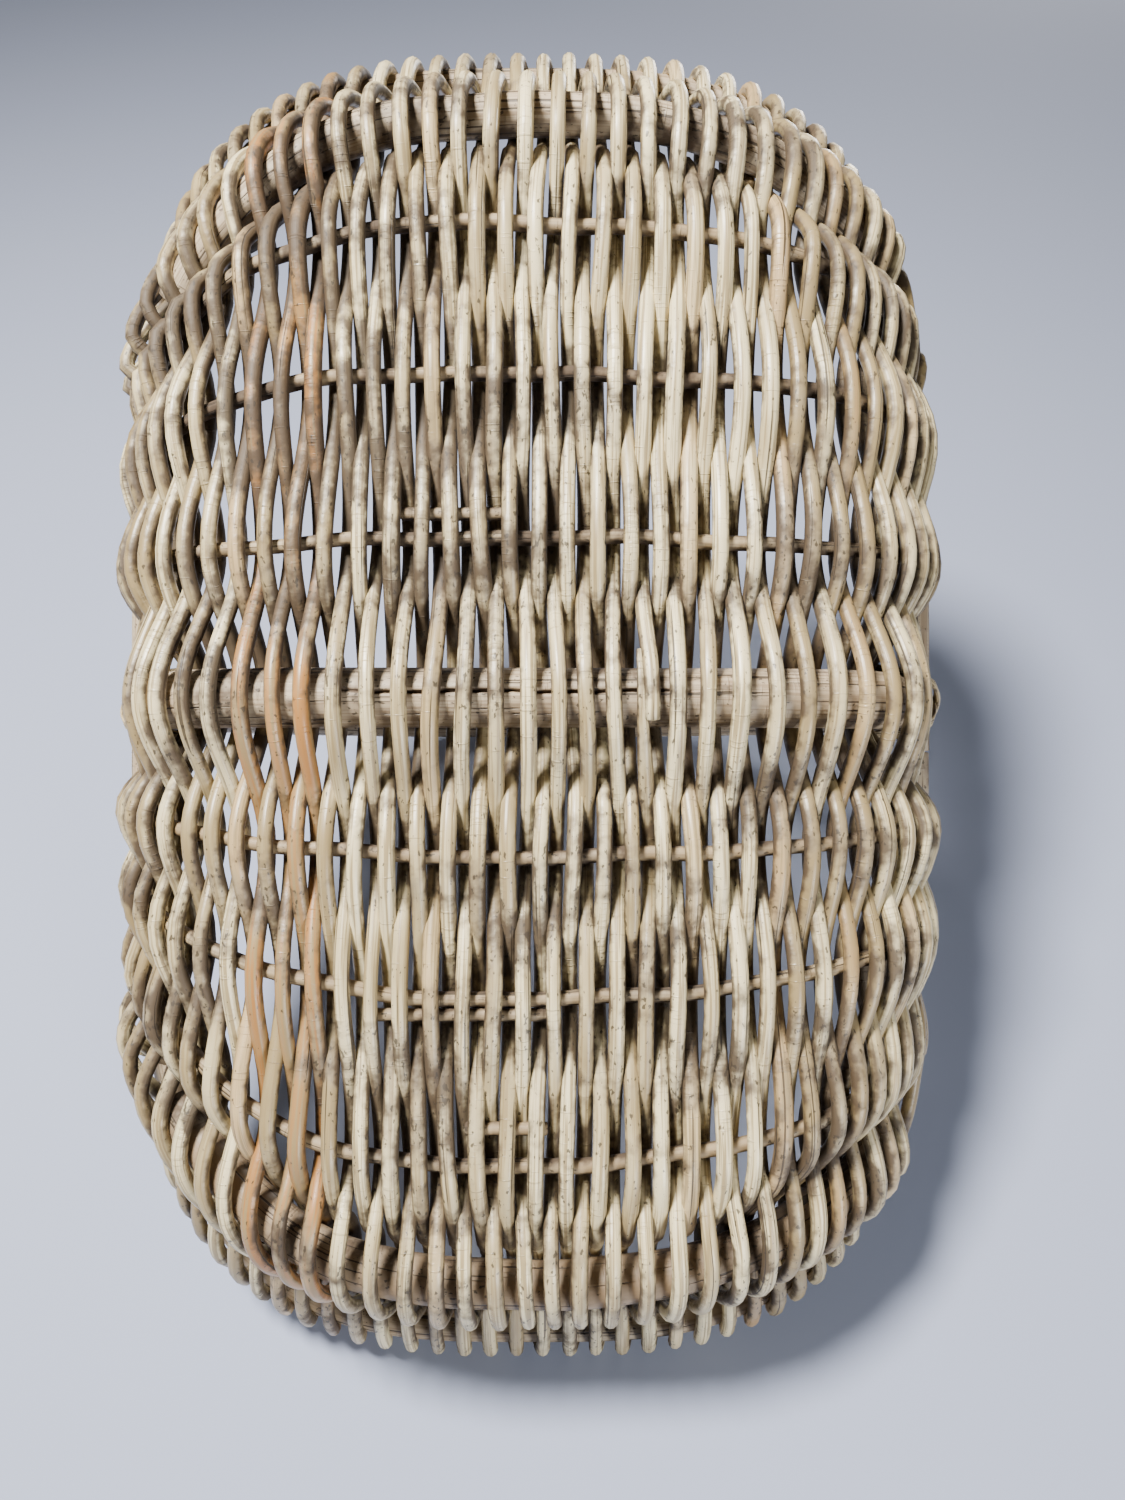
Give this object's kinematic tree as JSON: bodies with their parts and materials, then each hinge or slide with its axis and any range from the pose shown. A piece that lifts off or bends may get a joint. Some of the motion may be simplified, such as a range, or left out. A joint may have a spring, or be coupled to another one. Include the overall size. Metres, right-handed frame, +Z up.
{
  "type": "wicker basket",
  "caption": "Oval open frame basket of woven willow rods with a stout rim hoop and a fixed bow handle across the middle.",
  "frame": {"origin": "on the ground under the middle of the keel, which is the middle of the basket's footprint", "axes": "+X along the basket's length, +Y across its width, +Z up through the open mouth"},
  "size_m": [0.5646, 0.3602, 0.3308],
  "materials": {
    "peeled_rod": "matt peeled willow, weathered",
    "thin_rib": "matt peeled willow, dirty",
    "weaver": "satin peeled willow",
    "binding": "satin split willow"
  },
  "bodies": {
    "root": {"rim_hoop": "peeled_rod", "handle_hoop": "peeled_rod", "end_bow_front": "peeled_rod", "end_bow_rear": "peeled_rod", "rib_1": "thin_rib", "rib_2": "thin_rib", "rib_3": "thin_rib", "rib_4": "thin_rib", "rib_5": "thin_rib", "rib_6": "thin_rib", "rib_splice_1": "thin_rib", "rib_splice_2": "thin_rib", "rib_splice_3": "thin_rib", "ear_binding_left": "binding", "ear_binding_right": "binding", "weaver_01": "weaver", "weaver_02": "weaver", "weaver_03": "weaver", "weaver_04": "weaver", "weaver_05": "weaver", "weaver_06": "weaver", "weaver_07": "weaver", "weaver_08": "weaver", "weaver_09": "weaver", "weaver_10": "weaver", "weaver_11": "weaver", "weaver_12": "weaver", "weaver_13": "weaver", "weaver_14": "weaver", "weaver_15": "weaver", "weaver_16": "weaver", "weaver_17": "weaver", "weaver_18": "weaver", "weaver_19": "weaver", "weaver_20": "weaver", "weaver_21": "weaver", "weaver_22": "weaver", "weaver_23": "weaver", "weaver_24": "weaver"}
  },
  "joints": []
}
